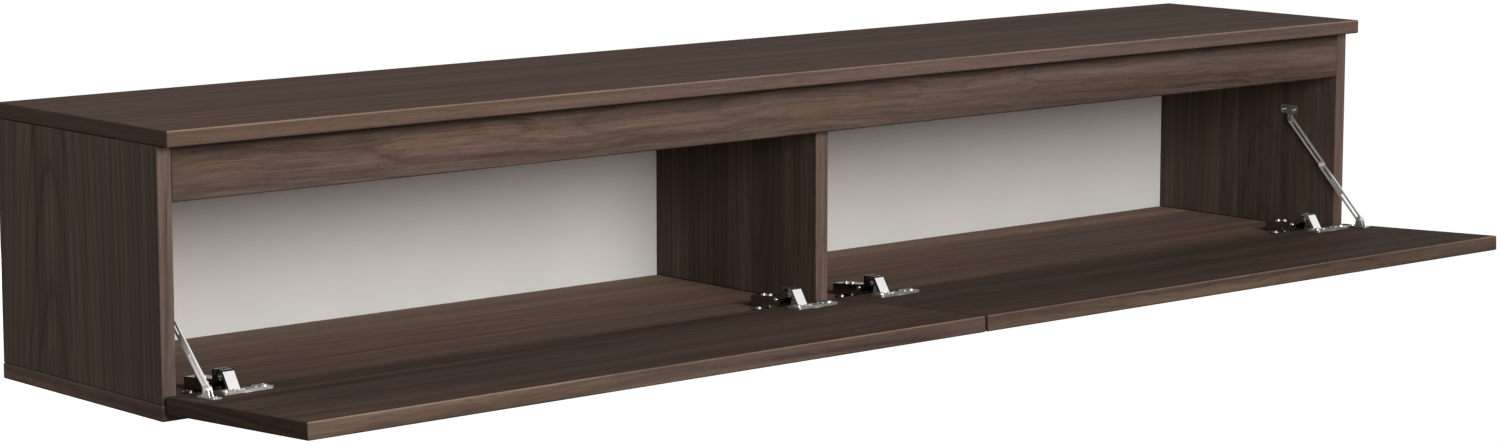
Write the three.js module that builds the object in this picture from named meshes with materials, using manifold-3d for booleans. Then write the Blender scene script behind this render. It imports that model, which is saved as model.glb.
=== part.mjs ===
// Floating media console: a long wall-hung cabinet with two drop-down flaps,
// four concealed cup hinges and two slotted folding stays.
// Millimetres. X runs along the wall from the console's middle, Y runs to the wall
// (the wall plane is y = 0), Z runs up. The origin lies on the wall plane at the
// height of the wall screws.

import * as THREE from 'three';
import { mergeVertices } from 'three/addons/utils/BufferGeometryUtils.js';
import Module from 'manifold-3d';

const wasm = await Module();
wasm.setup();

// Carcass sizes
const consoleWidth = 1800;
const carcassDepth = 312;
const sideHeight = 260;
const panelThickness = 17;
const sideThickness = 17;
const dividerThickness = 18;
const railThickness = 18;
const railHeight = 57.5;
const backThickness = 5;
const backRebateWidth = 8;
const backFitGap = 0.3;
const hangingRailThickness = 17;
const hangingRailHeight = 70;
const boardArris = 1.4;
const boardArrisSteps = 2;

// Wall screws pass through the hanging rails and the back, which are bored for them
const wallScrewDrop = 35;
const wallScrewFromSide = 110;
const wallScrewBoreRadius = 4;

// Wooden dowels between the boards
const dowelRadius = 4;
const dowelLength = 26;
const dowelFitGap = 0.1;
const dowelEndGap = 0.5;
const dowelFromFront = 62;
const dowelFromBack = 58;

// Flaps: the closed place and the photographed open place
const flapThickness = 18;
const flapHeight = 247.5;
const flapMiddleGap = 4;
const flapEndInset = 2;
const flapClosedGap = 1.5;
const flapClosedReveal = 2;
const flapOpenSetback = 4.5;
const flapOpenRise = 26.5;
const flapOpenAngle = THREE.MathUtils.degToRad(87.2);
const flapArris = 1.2;

// Concealed cup hinges
const hingeFromBoard = 55;
const cupFromEdge = 26;
const cupRadius = 17.5;
const cupWall = 1;
const cupDepth = 12;
const cupFitGap = 0.3;
const cupFlangeLength = 60;
const cupFlangeThickness = 3;
const cupFlangeInner = 4;
const cupFlangeCorner = 3;
const cupSeatGap = 0.3;
const cupRim = 0.7;
const cupPinFromEdge = 15;
const cupPinDepth = 1;
const cupPinRadius = 1;
const armPinRise = 21;
const armPinRadius = 1.5;
const pinGap = 0.15;
const linkWidth = 13.4;
const linkSheet = 1.4;
const linkCrownRise = 6.6;
const linkCrownAhead = 7.6;
const linkCapRise = 8;
const linkCapFront = 5.2;
const linkCapBack = 1.6;
const linkArmEyeRadius = 3;
const linkCupEyeRadius = 1.9;
const linkNeckWidth = 3.8;
const innerLinkSideGap = 0.5;
const innerLinkSheet = 1.2;
const armSheet = 1.5;
const armSideGap = 0.4;
const armNoseRadius = 3;
const armLength = 62;
const armRearTop = 13.5;
const armFrontTop = 17;
const armHeel = 22;
const armElbowFoot = 18.5;
const armElbowTop = 29;
const armElbowBack = 9.2;
const armElbowFront = 4.9;
const armNeck = 10;
const armUnderside = 2.6;
const armNoseUnderside = 15;
const plateLength = 50;
const plateStart = 12;
const plateRidgeRise = 8;
const plateWingLength = 46;
const plateWingWidth = 13;
const plateWingFromFront = 37;
const plateWingThickness = 2;
const plateWingCorner = 4;

// Folding stays
const stayLinkThickness = 1.8;
const stayLinkGap = 0.3;
const stayLinkWidth = 9;
const staySlotWidth = 3.2;
const staySidePivotBack = 74.5;
const staySidePivotHeight = 158.9;
const stayFlapPivotFromEdge = 44.5;
const stayFlapPivotRise = 9.4;
const stayUpperShare = 0.46;
const stayUpperSlotShares = [0.09, 1];
const stayLongSlotShares = [0.07, 0.45];
const stayShortSlotShares = [0.75, 0.93];
const stayPinRadius = 1.5;
const stayHeadRadius = 3.2;
const stayHeadThickness = 1.4;
const stayBracketPlate = 2;
const stayBracketLength = 29;
const stayBracketHeight = 12;
const stayBracketDrop = 12;
const stayBracketBack = 3.4;
const stayBracketCorner = 3;
const stayFootLength = 30;
const stayFootWidth = 12;
const stayFootFromSide = 1.2;
const stayFootCorner = 2;
const stayFootPlate = 1.8;
const stayFootWall = 1.5;
const stayFootWallWidth = 14;
const stayFootSeat = 0.3;
const stayRivetHead = 1;

// Facets
const roundSteps = 16;
const smallRoundSteps = 12;
const cupSteps = 32;
const arcSteps = 5;
const cutOverrun = 2;
const weldTolerance = 1e-4;

// Finishes
const veneer = new THREE.MeshStandardMaterial({ color: 0x41332c, roughness: 0.55, metalness: 0 });
const veneerEdge = new THREE.MeshStandardMaterial({ color: 0x5f4c42, roughness: 0.55, metalness: 0 });
const backBoard = new THREE.MeshStandardMaterial({ color: 0xbdb9b2, roughness: 0.7, metalness: 0 });
const nickel = new THREE.MeshStandardMaterial({ color: 0xc9c7c3, roughness: 0.25, metalness: 1 });
const darkSteel = new THREE.MeshStandardMaterial({ color: 0x6c6a68, roughness: 0.3, metalness: 1 });
const beech = new THREE.MeshStandardMaterial({ color: 0xcaa877, roughness: 0.8, metalness: 0 });

// Solids: three.js geometry goes in, joins and cuts happen here, and geometry comes back

function toSolid(geometry) {
  const bare = geometry.clone();
  bare.deleteAttribute('normal');
  bare.deleteAttribute('uv');
  const merged = mergeVertices(bare, weldTolerance);
  const mesh = new wasm.Mesh({
    numProp: 3,
    vertProperties: new Float32Array(merged.attributes.position.array),
    triVerts: new Uint32Array(merged.index.array),
  });
  return new wasm.Manifold(mesh);
}

function toGeometry(solid) {
  const mesh = solid.getMesh();
  const geometry = new THREE.BufferGeometry();
  geometry.setAttribute('position', new THREE.BufferAttribute(mesh.vertProperties, 3));
  geometry.setIndex(new THREE.BufferAttribute(mesh.triVerts, 1));
  geometry.computeVertexNormals();
  return geometry;
}

function join(first, ...others) {
  return others.reduce((whole, other) => whole.add(other), first);
}

function cut(first, ...tools) {
  return tools.reduce((whole, tool) => whole.subtract(tool), first);
}

// Each plane's outline directions and thickness direction, in cyclic order so nothing is mirrored
const planes = {
  x: new THREE.Matrix4().makeBasis(
    new THREE.Vector3(0, 1, 0), new THREE.Vector3(0, 0, 1), new THREE.Vector3(1, 0, 0)),
  y: new THREE.Matrix4().makeBasis(
    new THREE.Vector3(0, 0, 1), new THREE.Vector3(1, 0, 0), new THREE.Vector3(0, 1, 0)),
  z: new THREE.Matrix4(),
};

// A flat outline given a thickness from low to high along the axis
function sheet(axis, outline, low, high) {
  const geometry = new THREE.ExtrudeGeometry(outline, {
    depth: high - low, bevelEnabled: false, curveSegments: arcSteps, steps: 1,
  });
  geometry.translate(0, 0, low);
  geometry.applyMatrix4(planes[axis]);
  return toSolid(geometry);
}

// A board between two corners, with rounded arrises round both faces
function board(axis, low, high, arris) {
  const order = { x: ['y', 'z', 'x'], y: ['z', 'x', 'y'], z: ['x', 'y', 'z'] }[axis];
  const [across, along, through] = order.map((name) => [low[name], high[name]]);
  const outline = rectangle(across[0] + arris, across[1] - arris, along[0] + arris, along[1] - arris);
  const geometry = new THREE.ExtrudeGeometry(outline, {
    depth: through[1] - through[0] - 2 * arris,
    bevelEnabled: true, bevelThickness: arris, bevelSize: arris, bevelSegments: boardArrisSteps,
    steps: 1,
  });
  geometry.translate(0, 0, through[0] + arris);
  geometry.applyMatrix4(planes[axis]);
  return toSolid(geometry);
}

function block(low, high) {
  const size = high.clone().sub(low);
  const middle = high.clone().add(low).divideScalar(2);
  const geometry = new THREE.BoxGeometry(size.x, size.y, size.z);
  geometry.translate(middle.x, middle.y, middle.z);
  return toSolid(geometry);
}

// A round bar from low to high along the axis, about a point of the other two directions
function bar(axis, radius, low, high, centre, steps = roundSteps) {
  const geometry = new THREE.CylinderGeometry(radius, radius, high - low, steps);
  geometry.rotateX(Math.PI / 2);
  geometry.translate(0, 0, (high + low) / 2);
  geometry.applyMatrix4(planes[axis]);
  geometry.translate(centre.x, centre.y, centre.z);
  return toSolid(geometry);
}

function rectangle(x0, x1, y0, y1) {
  const outline = new THREE.Shape();
  outline.moveTo(x0, y0);
  outline.lineTo(x1, y0);
  outline.lineTo(x1, y1);
  outline.lineTo(x0, y1);
  outline.closePath();
  return outline;
}

function roundedRectangle(x0, x1, y0, y1, corner) {
  const outline = new THREE.Shape();
  outline.moveTo(x0 + corner, y0);
  outline.lineTo(x1 - corner, y0);
  outline.absarc(x1 - corner, y0 + corner, corner, -Math.PI / 2, 0);
  outline.lineTo(x1, y1 - corner);
  outline.absarc(x1 - corner, y1 - corner, corner, 0, Math.PI / 2);
  outline.lineTo(x0 + corner, y1);
  outline.absarc(x0 + corner, y1 - corner, corner, Math.PI / 2, Math.PI);
  outline.lineTo(x0, y0 + corner);
  outline.absarc(x0 + corner, y0 + corner, corner, Math.PI, 3 * Math.PI / 2);
  return outline;
}

// A strip with round ends about two points of its plane
function strip(from, to, radius) {
  const heading = to.clone().sub(from).angle();
  const outline = new THREE.Shape();
  outline.absarc(from.x, from.y, radius, heading + Math.PI / 2, heading + 3 * Math.PI / 2);
  outline.absarc(to.x, to.y, radius, heading - Math.PI / 2, heading + Math.PI / 2);
  return outline;
}

function point(x, y, z) {
  return new THREE.Vector3(x, y, z);
}

// A named piece whose own zero is at its place in the group that carries it
function addPiece(group, name, solid, material, place = point(0, 0, 0)) {
  const geometry = toGeometry(solid);
  geometry.translate(-place.x, -place.y, -place.z);
  const mesh = new THREE.Mesh(geometry, material);
  mesh.name = name;
  mesh.position.copy(place);
  group.add(mesh);
  return mesh;
}

// Levels and planes of the carcass, from the underside of the bottom panel
const frontPlane = -carcassDepth;
const floorLevel = panelThickness;
const ceilingLevel = panelThickness + sideHeight;
const topLevel = ceilingLevel + panelThickness;
const sideInnerFace = consoleWidth / 2 - sideThickness;
const dividerFace = dividerThickness / 2;
const dividerFront = frontPlane + railThickness;
const backFront = -backThickness;
const topFront = frontPlane - flapClosedGap - flapThickness;
const railUnderside = ceilingLevel - railHeight;
const wallScrewLevel = ceilingLevel - wallScrewDrop;

const mediaConsole = new THREE.Group();
mediaConsole.position.z = -wallScrewLevel;

// Rebate that takes the back, with a fitting gap all round it
const backEdge = {
  x: sideInnerFace + backRebateWidth,
  low: floorLevel - backRebateWidth,
  high: ceilingLevel + backRebateWidth,
};
const rebate = block(
  point(-backEdge.x - backFitGap, backFront - backFitGap, backEdge.low - backFitGap),
  point(backEdge.x + backFitGap, cutOverrun, backEdge.high + backFitGap));

// Dowels stand upright between the boards that meet in a level seam
const dowelRows = [
  { name: 'front', y: frontPlane + dowelFromFront },
  { name: 'rear', y: -dowelFromBack },
];
const dowelColumns = [
  { name: 'left', x: -(sideInnerFace + sideThickness / 2) },
  { name: 'middle', x: 0 },
  { name: 'right', x: sideInnerFace + sideThickness / 2 },
];
const dowelSeams = [
  { name: 'bottom', z: floorLevel },
  { name: 'top', z: ceilingLevel },
];
const dowels = [];
for (const seam of dowelSeams) {
  for (const column of dowelColumns) {
    for (const row of dowelRows) {
      const name = `dowel_${seam.name}_${column.name}_${row.name}`;
      dowels.push({ name, x: column.x, y: row.y, z: seam.z });
    }
  }
}

function dowelSolid(dowel, radiusGrowth, endGrowth) {
  const reach = dowelLength / 2 + endGrowth;
  return bar('z', dowelRadius + radiusGrowth, dowel.z - reach, dowel.z + reach,
    point(dowel.x, dowel.y, 0), smallRoundSteps);
}

const dowelBores = dowels.map((dowel) => dowelSolid(dowel, dowelFitGap, dowelEndGap));

// Carcass boards
const topPanel = board('z', point(-consoleWidth / 2, topFront, ceilingLevel),
  point(consoleWidth / 2, 0, topLevel), boardArris);
addPiece(mediaConsole, 'top_panel', cut(topPanel, rebate, ...dowelBores), veneer,
  point(0, topFront / 2, ceilingLevel));

const bottomPanel = board('z', point(-consoleWidth / 2, frontPlane, 0),
  point(consoleWidth / 2, 0, floorLevel), boardArris);
addPiece(mediaConsole, 'bottom_panel', cut(bottomPanel, rebate, ...dowelBores), veneer,
  point(0, frontPlane / 2, 0));

for (const [name, side] of [['left', -1], ['right', 1]]) {
  const faces = [side * sideInnerFace, side * consoleWidth / 2].sort((a, b) => a - b);
  const panel = board('x', point(faces[0], frontPlane, floorLevel),
    point(faces[1], 0, ceilingLevel), boardArris);
  addPiece(mediaConsole, `${name}_side_panel`, cut(panel, rebate, ...dowelBores), veneer,
    point(side * sideInnerFace, frontPlane / 2, floorLevel));
}

const divider = board('x', point(-dividerFace, dividerFront, floorLevel),
  point(dividerFace, backFront, ceilingLevel), boardArris);
addPiece(mediaConsole, 'centre_divider', cut(divider, ...dowelBores), veneer,
  point(0, dividerFront, floorLevel));

const frontRail = board('y', point(-sideInnerFace, frontPlane, railUnderside),
  point(sideInnerFace, dividerFront, ceilingLevel), boardArris);
addPiece(mediaConsole, 'front_rail', frontRail, veneerEdge, point(0, frontPlane, railUnderside));

// The back closes the carcass, and the hanging rails take the wall screws through it
const wallScrewPlaces = [];
for (const side of [-1, 1]) {
  wallScrewPlaces.push(side * (sideInnerFace - wallScrewFromSide));
  wallScrewPlaces.push(side * (dividerFace + wallScrewFromSide));
}
const wallScrewBores = wallScrewPlaces.map((x) => bar('y', wallScrewBoreRadius,
  backFront - hangingRailThickness - cutOverrun, cutOverrun, point(x, 0, wallScrewLevel)));

const back = block(point(-backEdge.x, backFront, backEdge.low), point(backEdge.x, 0, backEdge.high));
addPiece(mediaConsole, 'back_panel', cut(back, ...wallScrewBores), backBoard, point(0, 0, floorLevel));

for (const [name, side] of [['left', -1], ['right', 1]]) {
  const ends = [side * dividerFace, side * sideInnerFace].sort((a, b) => a - b);
  const rail = board('y',
    point(ends[0], backFront - hangingRailThickness, ceilingLevel - hangingRailHeight),
    point(ends[1], backFront, ceilingLevel), boardArris);
  addPiece(mediaConsole, `${name}_hanging_rail`, cut(rail, ...wallScrewBores), veneer,
    point(side * dividerFace, backFront, ceilingLevel));
}

for (const dowel of dowels) {
  addPiece(mediaConsole, dowel.name, dowelSolid(dowel, 0, 0), beech, point(dowel.x, dowel.y, dowel.z));
}

// The motion lies in the plane across the flap: (back from the carcass front, up from its underside).
// A flap point is given by its distance from the hinged edge and its rise over the inner face.
function flapPoint(corner, angle, fromEdge, rise) {
  return new THREE.Vector2(rise, fromEdge).rotateAround(new THREE.Vector2(), angle).add(corner);
}

const closedCorner = new THREE.Vector2(-flapClosedGap, flapClosedReveal);
const openCorner = new THREE.Vector2(-flapOpenSetback, flapOpenRise);
const openTilt = Math.PI / 2 - flapOpenAngle;

// Each hinge link turns about its arm pin and carries the flap at its cup pin. The arm pin is as
// far from the cup pin's closed place as from its open place, at a set height over the floor.
const cupPinClosed = flapPoint(closedCorner, 0, cupPinFromEdge, -cupPinDepth);
const cupPinOpen = flapPoint(openCorner, flapOpenAngle, cupPinFromEdge, -cupPinDepth);
const cupPinTravel = cupPinOpen.clone().sub(cupPinClosed);
const cupPinMiddle = cupPinOpen.clone().add(cupPinClosed).divideScalar(2);
const armPinHeight = floorLevel + armPinRise;
const armPin = new THREE.Vector2(
  cupPinMiddle.x - (armPinHeight - cupPinMiddle.y) * cupPinTravel.y / cupPinTravel.x, armPinHeight);

// Groups stand at their pivots, in the plane across the flap
function pivotGroup(parent, place, turn) {
  const group = new THREE.Group();
  group.position.set(0, frontPlane + place.x, place.y);
  group.rotation.x = turn;
  parent.add(group);
  return group;
}

// Hinge outlines are drawn in (back, up) from the arm pin
const zero = new THREE.Vector2();
const cupPinAt = cupPinOpen.clone().sub(armPin);
const crown = new THREE.Vector2(-linkCrownAhead, linkCrownRise);
const capFront = new THREE.Vector2(-linkCapFront, linkCapRise);
const capBack = new THREE.Vector2(-linkCapBack, linkCapRise);
const neck = crown.clone().sub(cupPinAt).normalize();
const neckRear = new THREE.Vector2(neck.y, -neck.x);

// The front edge of a link: up from the cup pin, over the crown and back along the flat cap
const linkFrontEdge = [
  cupPinAt.clone().addScaledVector(neckRear, -linkCupEyeRadius), crown, capFront, capBack,
];

// The same run of points, set off to its right by a distance
function offsetRun(points, distance) {
  return points.map((place, i) => {
    const before = place.clone().sub(points[Math.max(i - 1, 0)]).normalize();
    const after = points[Math.min(i + 1, points.length - 1)].clone().sub(place).normalize();
    const run = i > 0 ? before.clone() : after.clone();
    const heading = before.add(after).normalize();
    const mitre = distance / heading.dot(run);
    return new THREE.Vector2(place.x + heading.y * mitre, place.y - heading.x * mitre);
  });
}

function bentSheet(points, near, far) {
  return new THREE.Shape([...offsetRun(points, near), ...offsetRun(points, far).reverse()]);
}

// A link's cheek: the front edge, round the arm pin, along the throat and round the cup pin
function linkCheek() {
  const outline = new THREE.Shape(linkFrontEdge);
  const throat = crown.clone().addScaledVector(neckRear, linkNeckWidth)
    .addScaledVector(neck, -linkNeckWidth);
  const heading = neck.angle();
  const quarter = Math.PI / 2;
  outline.absarc(0, 0, linkArmEyeRadius, quarter, throat.angle() + quarter / 2, true);
  outline.lineTo(throat.x, throat.y);
  outline.absarc(cupPinAt.x, cupPinAt.y, linkCupEyeRadius, heading - quarter, heading + quarter, true);
  return outline;
}

// Each hinge is built about its own middle
const linkHalf = linkWidth / 2;
const armInnerHalf = linkHalf + armSideGap;
const armOuterHalf = armInnerHalf + armSheet;
const innerLinkHalf = linkHalf - linkSheet - innerLinkSideGap;

function across(radius, half, place) {
  return bar('x', radius, -half, half, point(0, place.x, place.y), smallRoundSteps);
}

function hingeLinkSolid() {
  const cheek = linkCheek();
  const body = join(
    sheet('x', cheek, -linkHalf, linkSheet - linkHalf),
    sheet('x', cheek, linkHalf - linkSheet, linkHalf),
    sheet('x', bentSheet(linkFrontEdge, 0, linkSheet), -linkHalf, linkHalf));
  return cut(body,
    across(armPinRadius + pinGap, linkHalf + cutOverrun, zero),
    across(cupPinRadius + pinGap, linkHalf + cutOverrun, cupPinAt));
}

// The second link lies behind the first one's front, stops short of the cup pin and shares the arm pin
function innerLinkSolid() {
  const near = linkSheet + innerLinkSideGap;
  const start = linkFrontEdge[0].clone().addScaledVector(neck, cupPinRadius + innerLinkSideGap);
  const neckSheet = sheet('x', bentSheet([start, crown, capFront], near, near + innerLinkSheet),
    -innerLinkHalf, innerLinkHalf);
  const bend = crown.clone().addScaledVector(neckRear, near + innerLinkSheet / 2);
  const tail = sheet('x', strip(zero, bend, innerLinkSheet / 2), -innerLinkHalf, innerLinkHalf);
  const eye = across(linkArmEyeRadius - pinGap, innerLinkHalf, zero);
  return cut(join(neckSheet, tail, eye),
    across(armPinRadius + pinGap, innerLinkHalf + cutOverrun, zero));
}

// Arm levels are heights over the floor panel, brought to the arm pin's height
function armLevel(height) {
  return height - armPinRise;
}

// The roof runs forward to a raised elbow, which stops short of the closed cup; the nose under it
// holds the arm pin
function armSolid() {
  const roofEdge = [
    new THREE.Vector2(armLength, armLevel(armRearTop)),
    new THREE.Vector2(armHeel, armLevel(armFrontTop)),
    new THREE.Vector2(armElbowBack, armLevel(armElbowFoot)),
    new THREE.Vector2(armElbowBack, armLevel(armElbowTop)),
    new THREE.Vector2(armElbowFront, armLevel(armElbowTop)),
  ];
  const cheek = new THREE.Shape(roofEdge);
  cheek.lineTo(armElbowFront, armNoseRadius);
  cheek.absarc(0, 0, armNoseRadius, Math.PI / 2, -Math.PI / 2, false);
  cheek.lineTo(armNeck, armLevel(armNoseUnderside));
  cheek.lineTo(armNeck + armNoseRadius, armLevel(armUnderside));
  cheek.lineTo(armLength, armLevel(armUnderside));
  cheek.closePath();
  return join(
    sheet('x', cheek, -armOuterHalf, -armInnerHalf),
    sheet('x', cheek, armInnerHalf, armOuterHalf),
    sheet('x', bentSheet(roofEdge, -armSheet, 0), -armOuterHalf, armOuterHalf),
    across(armPinRadius, armOuterHalf, zero));
}

// The mounting plate's zero is at the carcass front, on the floor panel
function mountingPlateSolid() {
  const ridge = block(
    point(-linkHalf, plateStart, 0),
    point(linkHalf, plateStart + plateLength, plateRidgeRise));
  const wings = sheet('z', roundedRectangle(-plateWingLength / 2, plateWingLength / 2,
    plateWingFromFront - plateWingWidth / 2, plateWingFromFront + plateWingWidth / 2,
    plateWingCorner), 0, plateWingThickness);
  return join(ridge, wings);
}

// A cup's zero is at its middle, on the flap's inner face
function cupBar(radius, low, high) {
  return bar('z', radius, low, high, point(0, 0, 0), cupSteps);
}

function cupBoreSolid(x) {
  return cupBar(cupRadius + cupFitGap, -cupDepth - cupFitGap, cutOverrun).translate([x, -cupFromEdge, 0]);
}

function cupSolid() {
  const shell = cupBar(cupRadius, -cupDepth, cupSeatGap + cupRim);
  const rim = cupBar(cupRadius + cupWall, cupSeatGap, cupSeatGap + cupRim);
  const flange = sheet('z', roundedRectangle(-cupFlangeLength / 2, cupFlangeLength / 2,
    -cupRadius, cupFlangeInner, cupFlangeCorner), cupSeatGap, cupSeatGap + cupFlangeThickness);
  const hollow = cupBar(cupRadius - cupWall, -cupDepth + cupWall, cupFlangeThickness + cutOverrun);
  const pin = bar('x', cupPinRadius, -cupRadius, cupRadius,
    point(0, cupFromEdge - cupPinFromEdge, -cupPinDepth), smallRoundSteps);
  const pinReach = cupBar(cupRadius - cupWall / 2, -cupDepth, cupFlangeThickness);
  return join(cut(join(shell, rim, flange), hollow), pin.intersect(pinReach));
}

// Folding stays: the upper link hangs on the side panel, the lower link stands on the flap, and the
// two lie in line when the flap is open
const sidePivot = new THREE.Vector2(staySidePivotBack, staySidePivotHeight);
const flapPivotOpen = flapPoint(openCorner, flapOpenAngle, stayFlapPivotFromEdge, stayFlapPivotRise);
const stayRun = flapPivotOpen.clone().sub(sidePivot);
const stayHeading = stayRun.angle();
const stayUpperLength = stayRun.length() * stayUpperShare;
const stayLowerLength = stayRun.length() - stayUpperLength;

// Layers of the stay, counted from the side panel's inner face towards the console's middle
const upperLinkNear = stayBracketPlate + stayLinkGap;
const upperLinkFar = upperLinkNear + stayLinkThickness;
const lowerLinkNear = upperLinkFar + stayLinkGap;
const lowerLinkFar = lowerLinkNear + stayLinkThickness;
const footInnerWall = lowerLinkFar + stayLinkGap;
const footOuterWall = lowerLinkNear - stayLinkGap - stayFootWall;

// A pair of places along X, counted from a side panel's inner face
function layer(side, near, far) {
  return [side * (sideInnerFace - near), side * (sideInnerFace - far)].sort((a, b) => a - b);
}

function alongLink(distance) {
  return new THREE.Vector2(distance, 0);
}

// A flat link along Y from its pivot, with slots and bores given as shares of its length
function stayLink(side, near, far, length, slots, boreShares) {
  const [low, high] = layer(side, near, far);
  const through = (outline) => sheet('x', outline, low - cutOverrun, high + cutOverrun);
  const slotSolids = slots.map(([from, to]) => through(
    strip(alongLink(from * length), alongLink(to * length), staySlotWidth / 2)));
  const bores = boreShares.map((share) => bar('x', stayPinRadius + pinGap,
    low - cutOverrun, high + cutOverrun, point(0, share * length, 0), smallRoundSteps));
  const blank = sheet('x', strip(zero, alongLink(length), stayLinkWidth / 2), low, high);
  return cut(blank, ...slotSolids, ...bores);
}

// A round pin along X between two layers
function stayPin(side, radius, near, far) {
  const [low, high] = layer(side, near, far);
  return bar('x', radius, low, high, point(0, 0, 0), smallRoundSteps);
}

// The side bracket's zero is at the upper link's pivot: a screwed plate over a stem with the pin
function sideBracketSolid(side) {
  const [low, high] = layer(side, 0, stayBracketPlate);
  const middle = new THREE.Vector2(stayBracketBack, stayBracketDrop);
  const plate = sheet('x', roundedRectangle(
    middle.x - stayBracketLength / 2, middle.x + stayBracketLength / 2,
    middle.y - stayBracketHeight / 2, middle.y + stayBracketHeight / 2, stayBracketCorner), low, high);
  const stem = sheet('x', strip(middle, zero, stayLinkWidth / 2), low, high);
  const headNear = upperLinkFar + pinGap;
  return join(plate, stem,
    stayPin(side, stayPinRadius, stayBracketPlate / 2, headNear + stayHeadThickness / 2),
    stayPin(side, stayHeadRadius, headNear, headNear + stayHeadThickness));
}

// The foot's zero is on the flap's inner face, under the lower link's pivot: a screwed base with two
// upright walls, and a riveted pin that runs through both walls and the link between them
function stayFootSolid(side) {
  const [baseLow, baseHigh] = layer(side, stayFootFromSide, stayFootFromSide + stayFootWidth);
  const base = sheet('z', roundedRectangle(baseLow, baseHigh, -stayFootLength / 2, stayFootLength / 2,
    stayFootCorner), stayFootSeat, stayFootSeat + stayFootPlate);
  const outline = new THREE.Shape();
  outline.moveTo(-stayFootWallWidth / 2, stayFootSeat);
  outline.lineTo(stayFootWallWidth / 2, stayFootSeat);
  outline.absarc(0, stayFlapPivotRise, stayLinkWidth / 2, 0, Math.PI);
  outline.closePath();
  const walls = [footOuterWall, footInnerWall].map((near) => {
    const [low, high] = layer(side, near, near + stayFootWall);
    return sheet('x', outline, low, high);
  });
  const pinNear = footOuterWall - stayRivetHead;
  const pinFar = footInnerWall + stayFootWall + stayRivetHead;
  const pin = join(
    stayPin(side, stayPinRadius, footOuterWall, footInnerWall + stayFootWall),
    stayPin(side, stayHeadRadius, pinNear, footOuterWall + stayFootWall / 2),
    stayPin(side, stayHeadRadius, footInnerWall + stayFootWall / 2, pinFar));
  return join(base, ...walls, pin.translate([0, 0, stayFlapPivotRise]));
}

// The slide pin sits in the lower link's far bore with its head towards the console's middle
function slidePinSolid(side) {
  const headNear = lowerLinkFar + pinGap;
  return join(
    stayPin(side, stayPinRadius, lowerLinkNear, headNear + stayHeadThickness / 2),
    stayPin(side, stayHeadRadius, headNear, headNear + stayHeadThickness));
}

// Both ends of the console: a flap with its two hinges and its stay
for (const [name, side] of [['left', -1], ['right', 1]]) {
  const [flapLow, flapHigh] = [side * flapMiddleGap / 2, side * (consoleWidth / 2 - flapEndInset)]
    .sort((a, b) => a - b);
  const hingePlaces = [
    { name: 'inner', x: side * (dividerFace + hingeFromBoard) },
    { name: 'outer', x: side * (sideInnerFace - hingeFromBoard) },
  ];

  const floorFront = pivotGroup(mediaConsole, new THREE.Vector2(0, floorLevel), 0);
  const arms = pivotGroup(mediaConsole, armPin, 0);
  const flap = pivotGroup(mediaConsole, openCorner, -openTilt);
  const upperStay = pivotGroup(mediaConsole, sidePivot, stayHeading);

  const flapBoard = board('z', point(flapLow, -flapHeight, -flapThickness),
    point(flapHigh, 0, 0), flapArris);
  const cupBores = hingePlaces.map((hinge) => cupBoreSolid(hinge.x));
  addPiece(flap, `${name}_flap`, cut(flapBoard, ...cupBores), veneer, point(flapLow, 0, 0));

  for (const hinge of hingePlaces) {
    const pieces = [
      [floorFront, 'mounting_plate', mountingPlateSolid(), nickel],
      [arms, 'arm', armSolid(), nickel],
      [arms, 'link', hingeLinkSolid(), nickel],
      [arms, 'inner_link', innerLinkSolid(), darkSteel],
      [flap, 'cup', cupSolid().translate([0, -cupFromEdge, 0]), nickel],
    ];
    for (const [group, piece, solid, material] of pieces) {
      addPiece(group, `${name}_${hinge.name}_hinge_${piece}`, solid, material).position.x = hinge.x;
    }
  }

  addPiece(upperStay, `${name}_stay_upper_link`, stayLink(side, upperLinkNear, upperLinkFar,
    stayUpperLength, [stayUpperSlotShares], [0]), nickel);

  const bracket = addPiece(mediaConsole, `${name}_stay_side_bracket`, sideBracketSolid(side), nickel);
  bracket.position.set(0, upperStay.position.y, upperStay.position.z);

  const foot = addPiece(flap, `${name}_stay_foot`, stayFootSolid(side), darkSteel);
  foot.position.y = -stayFlapPivotFromEdge;

  const lowerStay = new THREE.Group();
  lowerStay.position.set(0, -stayFlapPivotFromEdge, stayFlapPivotRise);
  lowerStay.rotation.x = stayHeading + Math.PI + openTilt;
  flap.add(lowerStay);
  addPiece(lowerStay, `${name}_stay_lower_link`, stayLink(side, lowerLinkNear, lowerLinkFar,
    stayLowerLength, [stayLongSlotShares, stayShortSlotShares], [0, 1]), nickel);
  const slidePin = addPiece(lowerStay, `${name}_stay_slide_pin`, slidePinSolid(side), nickel);
  slidePin.position.y = stayLowerLength;
}

export default mediaConsole;
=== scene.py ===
import math

import bpy
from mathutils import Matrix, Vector


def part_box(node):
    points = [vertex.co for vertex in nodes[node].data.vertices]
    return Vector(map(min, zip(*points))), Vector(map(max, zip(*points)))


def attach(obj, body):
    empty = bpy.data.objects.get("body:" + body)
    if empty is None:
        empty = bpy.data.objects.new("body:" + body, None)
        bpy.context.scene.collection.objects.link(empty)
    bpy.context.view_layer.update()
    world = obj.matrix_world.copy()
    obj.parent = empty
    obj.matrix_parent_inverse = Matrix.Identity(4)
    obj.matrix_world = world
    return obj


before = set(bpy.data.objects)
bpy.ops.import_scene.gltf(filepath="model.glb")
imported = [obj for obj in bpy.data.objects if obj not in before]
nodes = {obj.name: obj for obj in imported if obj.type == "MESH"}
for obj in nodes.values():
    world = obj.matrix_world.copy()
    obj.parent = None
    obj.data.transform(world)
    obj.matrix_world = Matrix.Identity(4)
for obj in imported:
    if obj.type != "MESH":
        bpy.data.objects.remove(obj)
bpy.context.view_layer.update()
print("frame loaded:", len(nodes), "nodes")


# Camera: stands low at the console's left front and looks slightly down along it

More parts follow.
